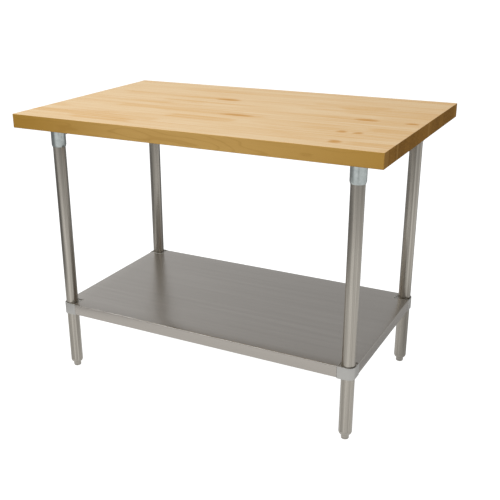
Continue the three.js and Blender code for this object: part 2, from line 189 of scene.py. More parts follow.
# %% [markdown]
# ## Wood
# Hard maple is pale and close-grained. What tells one stave from the next is
# how it was sawn: each one sits at its own distance from the heart of its tree,
# so the growth rings cross it in their own way, and each board has its own
# tone. A picture of wood would repeat and smear at the ends. Here the rings are
# solid: their distance from the tree's heart is worked out at every point, so
# the same rings show as lines on the top and as arcs on the end.
#
# The long side of the first stave is flat-sawn, with arched figure, and is oiled
# to a golden brown, deepened further by painted shade. End grain drinks oil and
# is darker still.
# %% Tones of maple
# The top's tones are paler than the wood's own colour: a painted sheen is in them.
CREAM = (0.860, 0.700, 0.490)
PALE_WITH_PAINTED_SHEEN = (0.800, 0.595, 0.352)
HONEY = (0.715, 0.450, 0.190)
AMBER = (0.680, 0.370, 0.120)
LATEWOOD = (0.630, 0.385, 0.160)
FLECK = (0.590, 0.290, 0.068)
# The long side's tones hold painted shade as well as the oiled wood's own colour.
SIDE_WITH_PAINTED_SHADE = (0.700, 0.430, 0.135)
SIDE_DEEP_WITH_PAINTED_SHADE = (0.520, 0.285, 0.052)
SIDE_LINE = (0.430, 0.225, 0.045)
END = (0.450, 0.225, 0.048)
END_LINE = (0.190, 0.088, 0.016)
END_PALE = (0.520, 0.290, 0.085)

# Stretches of darker or lighter wood: stave number to (from x, to x, amount).
STRETCHES = {
    1: [(-0.61, 0.61, -0.35)],
    2: [(-0.43, -0.21, 0.55), (0.50, 0.62, 0.45)],
    3: [(-0.62, -0.15, 0.55), (0.25, 0.50, 0.15)],
    4: [(-0.30, 0.20, -0.15)],
    5: [(-0.62, -0.53, 0.35), (-0.15, 0.07, 0.65), (0.30, 0.62, 0.20)],
    6: [(-0.62, -0.20, -0.30), (0.49, 0.62, 0.60)],
    7: [(-0.40, 0.15, 0.40)],
    8: [(0.05, 0.62, -0.15)],
    9: [(-0.62, -0.25, 0.25), (0.20, 0.55, 0.10)],
    10: [(-0.30, -0.15, 0.30), (0.15, 0.45, -0.15)],
    11: [(-0.47, 0.19, -0.35), (0.35, 0.62, 0.25)],
    12: [(-0.53, -0.06, 0.50), (0.31, 0.62, 0.50)],
    13: [(0.19, 0.45, 0.40)],
    14: [(-0.62, 0.62, -0.10)],
    15: [(-0.35, 0.10, 0.15)],
    16: [(-0.62, 0.62, -0.15)],
    17: [(-0.10, 0.40, 0.10)],
}
# Mineral flecks: stave number to (x, y, half length) on the top.
FLECKS = {
    2: [(0.450, -0.313, 0.019)], 5: [(0.425, -0.193, 0.014), (0.473, -0.195, 0.014)],
    7: [(0.050, -0.100, 0.055)], 9: [(0.438, -0.009, 0.036), (0.575, -0.016, 0.020)],
    12: [(-0.100, 0.127, 0.045)],
}
# Paler strips of the end grain: stave number to (from y, to y).
END_STRIPS = {1: (-0.390, -0.345), 3: (-0.278, -0.264), 10: (0.029, 0.046), 17: (0.350, 0.362)}
print("staves with their own stretches:", len(STRETCHES))


# %% [markdown]
# A ring ends in late wood, a narrow band that is darker than the rest. The
# tree's heart lies at a random place beside each stave and leans a little, and
# noise makes the rings wander. The first stave's heart is given, so that
# the arches on the table's long side fall where they should.
# %% Growth rings
def growth_rings(wood, number, middle, chance):
    """The share of late wood as it shows on the top, and as a finer line."""
    lean_y, lean_z = chance.uniform(-0.018, 0.018), chance.uniform(-0.02, 0.02)
    side = 1 if chance.random() < 0.5 else -1
    heart_y = middle.y + side * chance.uniform(0.055, 0.13)
    heart_z = middle.z + chance.uniform(-0.012, 0.012)
    if number == 1:
        heart_y, heart_z, lean_y, lean_z = middle.y + 0.060, middle.z - 0.006, 0.012, 0.010
    wander = wood.noise((2.6, 9, 14), (number * 3.1, 0, 0), 2.0) - 0.5
    off_y = wood.y - (wood.x * lean_y + heart_y) + wander * 0.022
    off_z = wood.z - (wood.x * lean_z + heart_z)
    from_heart = (off_y * off_y + off_z * off_z) ** 0.5
    ring_width = chance.uniform(2.6, 3.6) * MM
    ring = wood.node("ShaderNodeMath", {"operation": "FRACT"}, {0: from_heart * (1 / ring_width)})
    late = wood.between(ring, 0.35, 0.86) * (1 - wood.between(ring, 0.88, 0.99))
    thin_late = wood.between(ring, 0.66, 0.88) * (1 - wood.between(ring, 0.88, 0.98))
    return late, thin_late


# %% [markdown]
# The top's colour is a walk between pale and honey tones, kept paler than the
# sides by a painted sheen. Long streaks, soft clouds, the board's own stretches
# and painted shade towards the right end move it along, fine grain lightens and
# darkens it in thin lines, and the flecks are small ellipses laid over it.
# %% The colour of the top
STRETCH_BLUR, FLECK_WIDTH = 0.025, 0.0165


def top_colour_with_painted_sheen(wood, number, late, fibre, chance):
    streak = wood.noise((2.2, 70, 45), (number * 0.7, number, 0), 3.0, 0.6)
    cloud = wood.noise((2.4, 16, 12), (number * 5.3, 0, number), 2.0)
    stain = wood.noise((4.5, 85, 40), (number * 2.3, 0, number * 3), 1.0)
    grain = wood.noise((3.2, 230, 170), (number * 1.9, 0, number * 0.4), 3.0, 0.65)
    tone = chance.uniform(0.16, 0.34)
    # The x term makes the top deeper in tone towards its right end: painted shade.
    drift = (streak - 0.5) * 0.75 + (cloud - 0.5) * 1.0 + wood.x * 0.22 + tone
    slant = wood.x + (cloud - 0.5) * 0.10
    for start, stop, amount in STRETCHES[number]:
        drift = drift + wood.band(slant, start, stop, STRETCH_BLUR) * (amount * 0.95)
    # The pale top tones hold a painted sheen.
    colour = wood.mix(PALE_WITH_PAINTED_SHEEN, HONEY, wood.between(drift, 0.0, 1.0))
    colour = wood.mix(colour, AMBER, wood.between(stain, 0.60, 0.78) * (0.10 + drift * 0.75))
    colour = wood.mix(colour, CREAM, wood.between(grain, 0.52, 0.32) * 0.55)
    colour = wood.mix(colour, AMBER, wood.between(grain, 0.49, 0.68) * 0.50)
    colour = wood.mix(colour, LATEWOOD, late * 0.22 + (fibre - 0.5) * 0.22)
    for at_x, at_y, half_length in FLECKS.get(number, []):
        span_x = (wood.x - at_x + (streak - 0.5) * 0.030) / half_length
        span_y = (wood.y - at_y + (cloud - 0.5) * 0.010) / FLECK_WIDTH
        spot = 1 - wood.between(span_x * span_x + span_y * span_y, 0.0, 1.7)
        colour = wood.mix(colour, FLECK, spot * (0.45 + 0.9 * grain))
    return colour


# %% [markdown]
# The long side is deeper in tone than the top, partly by painted shade, and
# deeper still towards both ends, with fine ring lines. The end grain shows open
# pores and, on a few staves, a paler strip.
# %% The colours of a long side and an end
STRIP_BLUR = 0.001


def side_colour_with_painted_shade(wood, number, thin_late, fibre):
    tone = wood.noise((1.4, 30, 30), (number, 0, 0.3), 3.0)
    # The side's tones hold painted shade besides the wood's own colour; they are deeper towards
    # both ends.
    middle = wood.between(wood.x, -0.64, -0.10) * (1 - wood.between(wood.x, 0, 0.9))
    colour = wood.mix(SIDE_DEEP_WITH_PAINTED_SHADE, SIDE_WITH_PAINTED_SHADE, middle)
    line = thin_late * 0.26 + (fibre - 0.5) * 0.25 + (tone - 0.5) * 0.9 + 0.02
    return wood.mix(colour, SIDE_LINE, line)


def end_colour(wood, number, late, chance):
    pores = wood.noise((30, 300, 200), (0, 0, number), 3.0, 0.7)
    depth = 0.22 + chance.uniform(-0.20, 0.20)
    colour = wood.mix(END, END_LINE, late * 0.45 + (pores - 0.5) * 1.9 + depth)
    if number in END_STRIPS:
        strip = wood.band(wood.y, *END_STRIPS[number], STRIP_BLUR)
        colour = wood.mix(colour, END_PALE, strip * (0.55 + (pores - 0.5) * 0.8))
    return colour


# %% [markdown]
# Each stave gets a material of its own, made by one function, because the
# numbers that differ from board to board are then plain numbers in the nodes.
# The object's own normal tells which of the three colours a face wears; the
# top's holds a painted sheen and the long side's painted shade.
# %% One stave's wood
def stave_wood(number):
    chance = random.Random(number)
    low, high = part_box(f"stave_{number:02d}")
    wood = Finish(f"maple_{number:02d}", IOR=1.45, Specular_IOR_Level=0.05)
    late, thin_late = growth_rings(wood, number, (low + high) / 2, chance)
    fibre = wood.noise((14, 950, 950), (0, number * 1.7, 0), 2.0)
    # The top's colour holds a painted sheen.
    top = top_colour_with_painted_sheen(wood, number, late, fibre, chance)
    # The long side's colour holds painted shade.
    long_side_with_painted_shade = side_colour_with_painted_shade(wood, number, thin_late, fibre)
    end = end_colour(wood, number, late, chance)
    facing_x, facing_y, _ = wood.axes(wood.node("ShaderNodeTexCoord", output="Normal"))
    is_end = wood.between(wood.absolute(facing_x), 0.5, 0.8)
    is_side_with_painted_shade = wood.between(wood.absolute(facing_y), 0.5, 0.8)
    wood.wear(Base_Color=wood.mix(wood.mix(top, long_side_with_painted_shade, is_side_with_painted_shade), end, is_end),
              Roughness=0.40 + late * 0.06 + is_end * 0.18 + (fibre - 0.5) * 0.12,
              Normal=wood.bump(fibre * 0.7 + late * 0.3, 0.00006, 0.8))
    return wood.material


# %% [markdown]
# The staves keep their CAD shape, with rounded outer edges and a hair of a glue
# line between neighbours, so they only need the new wood.
# %% Put the wood on the staves
for stave in STAVES:
    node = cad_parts[stave]
    node.data.materials.clear()
    node.data.materials.append(stave_wood(int(stave[-2:])))
print("staves with new wood:", len(STAVES))

# %% [markdown]
# ## Metal
# Brushed steel is told by its scratches: thousands of fine lines that all run
# one way and blur what it mirrors. On a tube the polishing belt runs lengthwise,
# so the noise is stretched along the height, and on the undershelf it runs from
# end to end. The noise goes into the roughness, the bump and, a little, the
# colour. The undershelf's folded edges are painted a little warmer and darker
# than its flat: a painted reflection and painted shade.
# %% Brushed steel of the legs and the undershelf
def leg_steel():
    steel = Finish("leg_stainless", Metallic=1.0)
    bands = steel.noise((130, 130, 0.8), (3, 1, 0), 2.0, 0.55)
    lines = steel.noise((900, 900, 5), (0, 0, 0), 2.0)
    handled = steel.noise((12, 12, 7), (0, 5, 0), 3.0)
    shade = steel.between(bands * 0.75 + lines * 0.25, 0.28, 0.72)
    colour = steel.mix((0.36, 0.335, 0.29), (0.72, 0.675, 0.60), shade)
    steel.wear(Base_Color=colour,
               Roughness=0.20 + (1 - shade) * 0.10 + handled * 0.08,
               Normal=steel.bump(lines, 0.00005, 0.6))
    return steel.material


def sheet_steel():
    steel = Finish("undershelf_stainless", Metallic=1.0)
    lines = steel.noise((9, 1300, 1300), (0, 0, 0), 3.0, 0.6)
    bands = steel.noise((1.1, 60, 60), (2, 0, 0), 2.0)
    handled = steel.noise((4, 5, 5), (0, 0, 7), 3.0, 0.55)
    colour = steel.mix((0.52, 0.490, 0.450), (0.70, 0.665, 0.62), lines * 0.5 + bands * 0.5)
    # Folded faces get a warmer, darker tone: a painted reflection and painted shade.
    facing_z = steel.axes(steel.node("ShaderNodeTexCoord", output="Normal"))[2]
    folded = 1 - steel.between(steel.absolute(facing_z), 0.3, 0.8)
    colour = steel.mix(colour, (0.585, 0.545, 0.495), folded * 0.8)
    steel.wear(Base_Color=colour,
               Roughness=0.17 + lines * 0.07 + handled * 0.08,
               Normal=steel.bump(lines, 0.00012, 0.9))
    return steel.material


# %% [markdown]
# The sockets are zinc-plated, which is smooth, bluish and slightly cloudy with
# pale specks. The feet are turned steel: fine rings from the tool run round
# them, and they are darker in blotches near the floor.
# %% Plated and turned steel
def plated_steel():
    plate = Finish("socket_zinc_plate", Metallic=1.0)
    cloud = plate.noise((60, 60, 60), (0, 0, 0), 3.0)
    speck = plate.noise((900, 900, 900), (1, 0, 0), 2.0)
    cloudy = plate.between(cloud, 0.3, 0.7)
    colour = plate.mix((0.52, 0.570, 0.560), (0.66, 0.715, 0.705), cloudy)
    colour = plate.mix(colour, (0.62, 0.60, 0.52), plate.between(speck, 0.62, 0.80) * 0.35)
    plate.wear(Base_Color=colour, Roughness=0.10 + cloud * 0.10 + speck * 0.05,
               Normal=plate.bump(speck, 0.00003, 0.5))
    return plate.material


def turned_steel():
    steel = Finish("foot_turned_steel", Metallic=1.0)
    tool = steel.noise((25, 25, 2600), (0, 0, 0), 2.0)
    blotches = steel.noise((120, 120, 120), (0, 3, 0), 3.0)
    # Darker in blotches in the lowest 12 mm, near the floor.
    dark_low_blotches = (1 - steel.between(steel.z, 0.0, 0.012)) * steel.between(blotches, 0.35, 0.65)
    colour = steel.mix((0.50, 0.465, 0.41), (0.66, 0.625, 0.565), blotches)
    colour = steel.mix(colour, (0.24, 0.225, 0.20), dark_low_blotches * 0.6)
    steel.wear(Base_Color=colour, Roughness=0.30 + blotches * 0.10 + dark_low_blotches * 0.2,
               Normal=steel.bump(tool, 0.00004, 0.6))
    return steel.material


# %% [markdown]
# The clamps are cast, so their skin is dull and grainy. The set screws are
# blackened, and the black is rubbed through in places.
# %% Cast aluminium and black oxide
def cast_aluminium():
    cast = Finish("clamp_cast_aluminium", Metallic=1.0)
    skin = cast.noise((700, 700, 700), (0, 0, 0), 3.0, 0.6)
    cloud = cast.noise((45, 45, 45), (0, 2, 0), 3.0)
    colour = cast.mix((0.64, 0.63, 0.60), (0.78, 0.77, 0.74), cloud * 0.6 + skin * 0.4)
    cast.wear(Base_Color=colour, Roughness=0.42 + skin * 0.14 + cloud * 0.06,
              Normal=cast.bump(skin, 0.00012, 0.7))
    return cast.material


def oxide_steel():
    oxide = Finish("set_screw_black_oxide", Metallic=1.0)
    skin = oxide.noise((1500, 1500, 1500), (0, 0, 0), 2.0)
    rubbed = oxide.between(oxide.noise((400, 400, 400), (0, 0, 4), 3.0), 0.5, 0.75)
    colour = oxide.mix((0.055, 0.056, 0.060), (0.22, 0.215, 0.205), rubbed * 0.7)
    oxide.wear(Base_Color=colour, Roughness=0.36 + skin * 0.2,
               Normal=oxide.bump(skin, 0.00003, 0.5))
    return oxide.material


METALS = {
    "leg_tube": leg_steel(), "shelf_sheet": sheet_steel(), "zinc_plate": plated_steel(),
    "foot_steel": turned_steel(), "cast_aluminium": cast_aluminium(),
    "dark_steel": oxide_steel(),
}
print("metal finishes:", ", ".join(material.name for material in METALS.values()))

# %% [markdown]
# ## Workshop helpers
# Most of the metal pieces are turned on a lathe, cut with a saw or drilled. The
# helpers do the same: `turned` spins an outline about the upright axis, `rod`
# turns a plain bar, which is also what a drill removes, and `softened` bevels
# sharp edges.
# %% Turn and soften
FULL_TURN = 2 * math.pi
FINE, COARSE = 96, 36
WELD = 1e-6


def turned(outline, steps=FINE):
    """outline: (radius, height) in mm. One that starts on the axis stays open there."""
    bm = bmesh.new()
    points = [bm.verts.new((radius * MM, 0, height * MM)) for radius, height in outline]
    pairs = list(zip(points, points[1:]))
    if outline[0][0] > 0:
        pairs.append((points[-1], points[0]))
    edges = [bm.edges.new(pair) for pair in pairs]
    bmesh.ops.spin(bm, geom=points + edges, cent=(0, 0, 0), axis=(0, 0, 1), dvec=(0, 0, 0),
                   angle=FULL_TURN, steps=steps, use_merge=True, use_duplicate=False)
    bmesh.ops.remove_doubles(bm, verts=bm.verts, dist=WELD)
    bmesh.ops.recalc_face_normals(bm, faces=bm.faces)
    return bm


def rod(radius, low, high, steps=COARSE):
    return turned([(0, low), (radius, low), (radius, high), (0, high)], steps)


def softened(bm, width, sharper_than=40, segments=2):
    """Bevels, width mm wide, the edges whose faces meet at more than this angle."""
    limit = math.radians(sharper_than)
    edges = [edge for edge in bm.edges if edge.is_manifold and edge.calc_face_angle() > limit]
    bmesh.ops.bevel(bm, geom=edges, offset=width * MM, offset_type="OFFSET", segments=segments,
                    profile=0.5, affect="EDGES", material=-1, clamp_overlap=True)
    return bm


# %% [markdown]
# A Boolean modifier takes one solid from another, joins them or keeps what they
# share. It works on objects, so both shapes are put into the scene for a moment.
# %% Cut and join
def cut(bm, tool, operation="DIFFERENCE"):
    """Cuts, joins or overlaps two solids, and gives the result as a new bmesh."""
    holders = []
    for part in (bm, tool):
        mesh = bpy.data.meshes.new("work")
        part.to_mesh(mesh)
        part.free()
        holders.append(bpy.data.objects.new("work", mesh))
        scene.collection.objects.link(holders[-1])
    solid, other = holders
    modifier = solid.modifiers.new("cut", "BOOLEAN")
    modifier.operation, modifier.object, modifier.solver = operation, other, "EXACT"
    finished = solid.evaluated_get(bpy.context.evaluated_depsgraph_get())
    result = bmesh.new()
    result.from_mesh(finished.to_mesh())
    finished.to_mesh_clear()
    for holder in holders:
        mesh = holder.data
        bpy.data.objects.remove(holder)
        bpy.data.meshes.remove(mesh)
    return result


# %% [markdown]
# Square and hexagonal stock starts from the cube and the cone, and every shape
# is put in its place by turning it first and shifting it after.
# %% Place, blocks and hexagons
def moved(bm, shift=(0, 0, 0), turn=None):
    """Turns, then shifts by mm."""
    if turn is not None:
        bmesh.ops.rotate(bm, verts=bm.verts, cent=(0, 0, 0), matrix=turn)
    bmesh.ops.translate(bm, verts=bm.verts, vec=Vector(shift) * MM)
    return bm


def block(low, high):
    """A cube stretched between two corners, in mm."""
    bm = bmesh.new()
    bmesh.ops.create_cube(bm, size=1.0)
    size = [b - a for a, b in zip(low, high)]
    bmesh.ops.scale(bm, verts=bm.verts, vec=Vector(size) * MM)
    return moved(bm, [(a + b) / 2 for a, b in zip(low, high)])


def hexagon(across_flats, low, high):
    """An upright hexagon bar, in mm."""
    bm = bmesh.new()
    radius = across_flats / math.sqrt(3) * MM
    bmesh.ops.create_cone(bm, cap_ends=True, segments=6, radius1=radius, radius2=radius,
                          depth=(high - low) * MM)
    return moved(bm, (0, 0, (low + high) / 2), Matrix.Rotation(math.radians(30), 3, "Z"))


ALONG_X = Matrix.Rotation(math.radians(90), 3, "Y")

# %% [markdown]
# A finished mesh becomes a piece: it gets the finish its slot names, it rides on
# the CAD body it belongs to, and the CAD node it replaces is hidden. The
# vertices already hold its place, so the object stays at the origin.
# %% Finish a piece
def piece(name, bm, slot, body, node=None, smooth=30):
    mesh = bpy.data.meshes.new(name)
    bm.to_mesh(mesh)
    mesh.shade_smooth()
    mesh.set_sharp_from_angle(angle=math.radians(smooth))
    mesh.materials.append(METALS[slot])
    made = bpy.data.objects.new(name, mesh)
    scene.collection.objects.link(made)
    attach(made, body)
    if node:
        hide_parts(node)
    return made


def print_box(made):
    low, high = made.bound_box[0], made.bound_box[6]
    print(made.name, "box:", [round(value, 4) for value in (*low, *high)])


def at_each_corner(name, bm, slot, body, node, smooth=30):
    """One piece per leg. {} in a body's name stands for the corner."""
    for corner, turn in QUARTER_TURNS.items():
        x, y = leg_axis(corner)
        own = moved(bm.copy(), (x / MM, y / MM, 0), ABOUT_Z[turn])
        piece(f"{name}_{corner}", own, slot, body.format(corner), f"{node}_{corner}", smooth)
        own.free()
    faces = len(bm.faces)
    bm.free()
    print(f"{name}: 4 pieces of {faces} faces")


# %% [markdown]
# ## Leg tubes
# A leg is a plain welded tube, 1 5/8 inches across, with its ends sawn square.
# A cylinder without a wall would look right from outside only, so the wall's
# whole outline is spun and the tube is open inside.
# %% Leg tubes
LEG_WALL = 1.6
leg_outer = LEG_RADIUS / MM
leg_bottom, leg_top = LEG_LOW.z / MM, LEG_HIGH.z / MM
tube = turned([(leg_outer - LEG_WALL, leg_bottom), (leg_outer, leg_bottom),
               (leg_outer, leg_top), (leg_outer - LEG_WALL, leg_top)])
softened(tube, 0.25)
at_each_corner("leg_tube", tube, "leg_tube", "table_frame", "leg")

# %% [markdown]
# ## Leg sockets
# A socket is a drawn cup with a tapered lip, welded to a square plate. The
# weld is a hollow fillet, so it is part of the cup's outline.
# %% Cup and plate
SOCKET_BORE = leg_outer + 0.3
SOCKET_OUTER = SOCKET_BORE + 2.8
SOCKET_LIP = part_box("leg_socket_front_right")[0].z / MM
SOCKET_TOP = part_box("leg_socket_front_right")[1].z / MM
PLATE_HALF, PLATE_THICK, PLATE_CORNER = 44.45, 4.0, 8.0
plate_low = SOCKET_TOP - PLATE_THICK


def weld_bead(radius, height, size, steps=5):
    """Points of a hollow fillet from the wall up to the plate."""
    angles = [math.radians(90 * i / steps) for i in range(steps + 1)]
    return [(radius + size * (1 - math.cos(a)), height - size * (1 - math.sin(a)))
            for a in angles]


cup = turned([(SOCKET_BORE, SOCKET_LIP), (SOCKET_BORE + 0.9, SOCKET_LIP),
              (SOCKET_OUTER, SOCKET_LIP + 6.5), *weld_bead(SOCKET_OUTER, plate_low, 3.0),
              (SOCKET_OUTER + 3, plate_low + 1), (SOCKET_BORE, plate_low + 1)])
plate = block((-PLATE_HALF, -PLATE_HALF, plate_low), (PLATE_HALF, PLATE_HALF, SOCKET_TOP))
upright = [edge for edge in plate.edges if abs(edge.verts[0].co.z - edge.verts[1].co.z) > MM]
bmesh.ops.bevel(plate, geom=upright, offset=PLATE_CORNER * MM, offset_type="OFFSET", segments=8,
                profile=0.5, affect="EDGES", material=-1)
softened(plate, 0.4, 60)
print("socket from", round(SOCKET_LIP, 2), "to", round(SOCKET_TOP, 2), "mm up")

# %% [markdown]
# A boss for the set screw stands on the side that faces the table's middle.
# Cup, plate and boss are joined into one solid, and the bores are cut last, as
# on the real part.
# %% Boss and bores
BOSS_RADIUS, BOSS_OUT = 7.5, SOCKET_OUTER + 4.5
SCREW_HOLE, PLATE_HOLE, HOLE_PITCH = 4.3, 2.9, 34.95
SCREW_Z = TOP_LOW.z / MM - 26.0
PLATE_CORNERS = ((-1, -1), (1, -1), (1, 1), (-1, 1))


def laid_inward(bm, height, out=0.0):
    """Lays an upright shape along the diagonal to the table's middle."""
    return moved(moved(moved(bm, turn=ALONG_X), (out, 0, height)), turn=INWARD)


boss = turned([(0, SOCKET_OUTER - 2), (BOSS_RADIUS, SOCKET_OUTER - 2),
               (BOSS_RADIUS, BOSS_OUT - 0.6), (BOSS_RADIUS - 0.6, BOSS_OUT), (0, BOSS_OUT)],
              COARSE)
socket = cut(cut(cup, plate, "UNION"), laid_inward(boss, SCREW_Z), "UNION")
socket = cut(socket, laid_inward(rod(SCREW_HOLE, 15, 40), SCREW_Z))
for sign_x, sign_y in PLATE_CORNERS:
    hole = rod(PLATE_HOLE, plate_low - 2, SOCKET_TOP + 2)
    socket = cut(socket, moved(hole, (sign_x * HOLE_PITCH, sign_y * HOLE_PITCH, 0)))
at_each_corner("socket_cup", socket, "zinc_plate", "table_frame", "leg_socket", 35)


# %% [markdown]
# ## Set screws
# A headless screw with a cupped point and a hexagon key hole holds the leg in
# its socket, and a longer one holds the undershelf's clamp. The thread is a
# stack of ridges: at this size a true spiral can't be told from it.
# %% Set screws
def grub_screw(length):
    outline = [(0, 0.5), (1.6, 0.0), (2.5, 0.0), (3.55, 1.2)]
    ridge = 1.8
    while ridge < length - 1.2:
        outline += [(3.5, ridge - 0.5), (3.98, ridge), (3.5, ridge + 0.5)]
        ridge += 1.25
    outline += [(3.5, length - 0.5), (3.1, length), (0, length)]
    return cut(turned(outline, COARSE), hexagon(4.0, length - 4.0, length + 1))


CLAMP_LOW, CLAMP_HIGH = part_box("shelf_clamp_front_right")
clamp_bottom, clamp_top = CLAMP_LOW.z / MM, CLAMP_HIGH.z / MM
CLAMP_SCREW_Z = clamp_bottom + 12.5
point = leg_outer + 0.3
short_screw = laid_inward(grub_screw(8), SCREW_Z, point)
at_each_corner("socket_grub_screw", short_screw, "dark_steel", "table_frame", "socket_screw")
long_screw = laid_inward(grub_screw(16), CLAMP_SCREW_Z, point)
at_each_corner("clamp_grub_screw", long_screw, "dark_steel", "undershelf", "clamp_screw")


# %% [markdown]
# ## Wood screws
# Four pan-head screws hold each plate to the top. They are too many to be CAD
# nodes, but anyone who looks under the table sees their heads, so they are
# modelled here: a domed head with a crossed recess, and a shank with ridges.
# %% Wood screws
def wood_screw():
    head = [(0, -3.0), (1.8, -2.9), (3.4, -2.3), (4.3, -1.1), (4.45, 0.0), (2.3, 0.0)]
    shank = [(2.3, 4.4)]
    ridge = 5.6
    while ridge < 30:
        shank += [(1.25, ridge - 0.8), (1.75, ridge), (1.25, ridge + 0.8)]
        ridge += 2.2
    screw = turned(head + shank + [(1.2, 30.5), (0, 33.0)], COARSE)
    for half_x, half_y in ((2.6, 0.5), (0.5, 2.6)):
        screw = cut(screw, block((-half_x, -half_y, -4.0), (half_x, half_y, -1.6)))
    return screw


screw_model = wood_screw()
for corner in QUARTER_TURNS:
    axis_x, axis_y = (value / MM for value in leg_axis(corner))
    for number, (sign_x, sign_y) in enumerate(PLATE_CORNERS, 1):
        angle = Matrix.Rotation(math.radians(37 * number + 11 * axis_x / 100), 3, "Z")
        own = moved(screw_model.copy(), (axis_x + sign_x * HOLE_PITCH,
                                         axis_y + sign_y * HOLE_PITCH, plate_low), angle)
        piece(f"plate_screw_{corner}_{number}", own, "zinc_plate", "table_frame")
        own.free()
print("wood screws: 16 of", len(screw_model.faces), "faces")
screw_model.free()

# %% [markdown]
# ## Feet
# A shoulder piece is pressed into the tube and shows as a short bulge below it.
# A threaded stud runs through it, and the hexagon that a spanner turns is fixed
# on the stud's lower end, with a domed bottom that stands on the floor.
# %% Shoulders, studs and hexagons
INSERT_LOW, INSERT_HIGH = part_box("foot_insert_front_right")
HEX_LOW, HEX_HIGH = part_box("foot_hex_front_right")
STUD_LOW, STUD_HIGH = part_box("foot_stud_front_right")
shoulder_low, insert_top = INSERT_LOW.z / MM, INSERT_HIGH.z / MM
hex_top, stud_low, stud_top = HEX_HIGH.z / MM, STUD_LOW.z / MM, STUD_HIGH.z / MM
FOOT_BORE, PLUG, SEAT = 8.2, leg_outer - LEG_WALL - 0.15, leg_bottom - 0.05
RIM = SEAT - 2.2


def quarter(r0, z0, r1, z1, steps=12):
    """A quarter ellipse from an upright start to a level end."""
    angles = [math.radians(90 * i / steps) for i in range(steps + 1)]
    return [(r1 + (r0 - r1) * math.cos(a), z0 + (z1 - z0) * math.sin(a)) for a in angles]


shoulder = turned([(FOOT_BORE, shoulder_low),
                   *reversed(quarter(leg_outer, RIM, 12.8, shoulder_low)),
                   (leg_outer, SEAT - 0.3), (leg_outer - 0.3, SEAT), (PLUG, SEAT),
                   (PLUG, insert_top - 1), (PLUG - 1, insert_top),
                   (FOOT_BORE + 0.5, insert_top), (FOOT_BORE, insert_top - 0.5)])
at_each_corner("foot_shoulder", shoulder, "foot_steel", "table_frame", "foot_insert", 35)

ACROSS_FLATS, CORNERS_RADIUS = 22.4, 12.93
hex_foot = turned([(0, 0), (4.6, 0), *reversed(quarter(CORNERS_RADIUS, 5.5, 5.0, 0.0)),
                   (CORNERS_RADIUS, hex_top - 0.45), (12.0, hex_top), (0, hex_top)])
hex_foot = cut(hex_foot, hexagon(ACROSS_FLATS, -1, hex_top + 1), "INTERSECT")
hex_foot = cut(hex_foot, rod(FOOT_BORE, hex_top - 8, hex_top + 1, FINE))
at_each_corner("foot_hexagon", hex_foot, "foot_steel", "foot_hex_{}", "foot_hex", 25)


# %% [markdown]
# The stud's thread is a real spiral, because it shows when a foot is screwed
# out. A short outline of one ridge is spun while it climbs by one pitch a turn.
# Each turn then meets the next, and the long ribbon is cut off flat at both ends.
# %% The foot's thread
def spiral_stud(radius, depth, pitch, low, high, steps=32):
    turns = math.ceil((high - low) / pitch) + 2
    bm = bmesh.new()
    root, start = radius - depth, low - pitch
    ridge = [(root, 0.0), (root, 0.12), (radius, 0.45), (radius, 0.67), (root, 1.0)]
    points = [bm.verts.new((r * MM, 0, (start + part * pitch) * MM)) for r, part in ridge]
    edges = [bm.edges.new(pair) for pair in zip(points, points[1:])]
    bmesh.ops.spin(bm, geom=points + edges, cent=(0, 0, 0), axis=(0, 0, 1),
                   dvec=(0, 0, pitch * MM / steps), angle=FULL_TURN * turns,
                   steps=steps * turns, use_merge=False, use_duplicate=False)
    bmesh.ops.remove_doubles(bm, verts=bm.verts, dist=WELD * 5)
    for height, up in ((low, -1), (high, 1)):
        geom = bm.verts[:] + bm.edges[:] + bm.faces[:]
        bmesh.ops.bisect_plane(bm, geom=geom, dist=WELD, plane_co=(0, 0, height * MM),
                               plane_no=(0, 0, up), clear_outer=True, clear_inner=False)
        rim = [edge for edge in bm.edges if edge.is_boundary
               and abs(edge.verts[0].co.z - height * MM) < WELD * 10
               and abs(edge.verts[1].co.z - height * MM) < WELD * 10]
        bmesh.ops.contextual_create(bm, geom=rim)
    bmesh.ops.recalc_face_normals(bm, faces=bm.faces)
    return bm


STUD_RADIUS, THREAD_DEPTH, PITCH = 8.0, 1.1, 2.0
foot_stud = spiral_stud(STUD_RADIUS, THREAD_DEPTH, PITCH, stud_low, stud_top)
ends = turned([(0, stud_low), (STUD_RADIUS - 0.6, stud_low), (STUD_RADIUS, stud_low + 0.8),
               (STUD_RADIUS, stud_top - 1.2), (STUD_RADIUS - 1.2, stud_top), (0, stud_top)])
foot_stud = cut(foot_stud, ends, "INTERSECT")
at_each_corner("foot_thread", foot_stud, "zinc_plate", "foot_stud_{}", "foot_stud", 25)

# %% [markdown]
# ## Undershelf
# The undershelf is one sheet, notched at its corners, with its edges folded down
# and in again. It is made the way the shop makes it: the flat outline first,
# then each edge folded by extruding it, then the folds rounded, and only then
# the thickness of the sheet.
# %% Flat blank
PAN_LOW, PAN_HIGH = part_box("undershelf_pan")
NOTCH = 28 * MM
NOTCH_X, NOTCH_Y = LEG_X - NOTCH, LEG_Y - NOTCH
pan = bmesh.new()
bmesh.ops.create_grid(pan, x_segments=1, y_segments=1, size=1.0)
bmesh.ops.scale(pan, verts=pan.verts, vec=(PAN_HIGH.x, PAN_HIGH.y, 1))
bmesh.ops.translate(pan, verts=pan.verts, vec=(0, 0, PAN_HIGH.z))
for normal, distance in (((1, 0, 0), NOTCH_X), ((0, 1, 0), NOTCH_Y)):
    for sign in (-1, 1):
        geom = pan.verts[:] + pan.edges[:] + pan.faces[:]
        bmesh.ops.bisect_plane(pan, geom=geom, dist=WELD, plane_no=normal,
                               plane_co=Vector(normal) * distance * sign)
corners = [face for face in pan.faces if abs(face.calc_center_median().x) > NOTCH_X
           and abs(face.calc_center_median().y) > NOTCH_Y]
